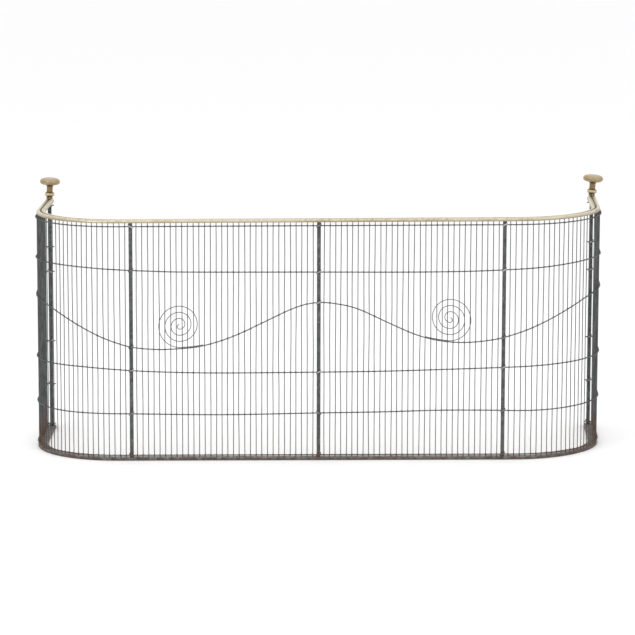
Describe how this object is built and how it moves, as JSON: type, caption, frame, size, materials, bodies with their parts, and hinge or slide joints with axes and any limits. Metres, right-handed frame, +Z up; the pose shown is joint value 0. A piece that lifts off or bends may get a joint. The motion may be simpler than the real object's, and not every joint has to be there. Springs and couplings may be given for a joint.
{
  "type": "fireplace screen",
  "caption": "Free-standing D-plan wirework fire screen: brass-capped rail on an iron wire grille with a swagged wire, flat scrolls and mushroom finials.",
  "frame": {"origin": "middle of the bounding box at floor level, under the open hearth space", "axes": "+X across the front to the viewer's right, front facing -Y, open back towards +Y, +Z up"},
  "size_m": [1.2338, 0.3764, 0.5611],
  "materials": {
    "rail_brass": "aged satin, handled bright along the reeds",
    "finial_brass": "brown-toned aged satin",
    "iron_bar": "dark wrought iron, lightly waxed",
    "base_iron": "worn grey iron with brown rust bloom",
    "grille_wire": "drawn iron wire, dull dark grey",
    "binding_wire": "thin iron wire, rubbed grey on its bends"
  },
  "bodies": {
    "screen": {"base_strip": "base_iron", "rail_core": "iron_bar", "rail_rivets": "iron_bar", "upright_left": "iron_bar", "upright_centre": "iron_bar", "upright_right": "iron_bar", "upper_wire": "grille_wire", "serpentine_wire": "grille_wire", "lower_wire": "grille_wire", "low_wire": "grille_wire", "top_wire": "grille_wire", "bottom_wire": "grille_wire", "side_wires_left": "grille_wire", "front_wires_left": "grille_wire", "front_wires_right": "grille_wire", "side_wires_right": "grille_wire", "upper_wire_ties": "binding_wire", "serpentine_wire_ties": "binding_wire", "lower_wire_ties": "binding_wire", "low_wire_ties": "binding_wire", "top_wire_ties": "binding_wire", "bottom_wire_ties": "binding_wire", "lashings_left_post": "binding_wire", "lashings_left_upright": "binding_wire", "lashings_centre_upright": "binding_wire", "lashings_right_upright": "binding_wire", "lashings_right_post": "binding_wire", "scroll_ties": "binding_wire", "rear_post_left": "iron_bar", "scroll_left": "grille_wire", "rear_post_right": "iron_bar", "scroll_right": "grille_wire", "brass_rail": "rail_brass", "rail_end_left": "rail_brass", "rail_end_right": "rail_brass"},
    "finial_left": {"finial_left": "finial_brass"},
    "finial_right": {"finial_right": "finial_brass"}
  },
  "joints": [
    {"name": "finial_left_unscrew", "type": "hinge", "parent": "screen", "child": "finial_left", "pos_m": [-0.59713, 0.1664, 0.514], "axis": [0.0523, 0, 0.9986], "range_deg": [0, 3600]},
    {"name": "finial_right_unscrew", "type": "hinge", "parent": "screen", "child": "finial_right", "pos_m": [0.59187, 0.1664, 0.514], "axis": [0.0872, 0, 0.9962], "range_deg": [0, 3600]}
  ]
}
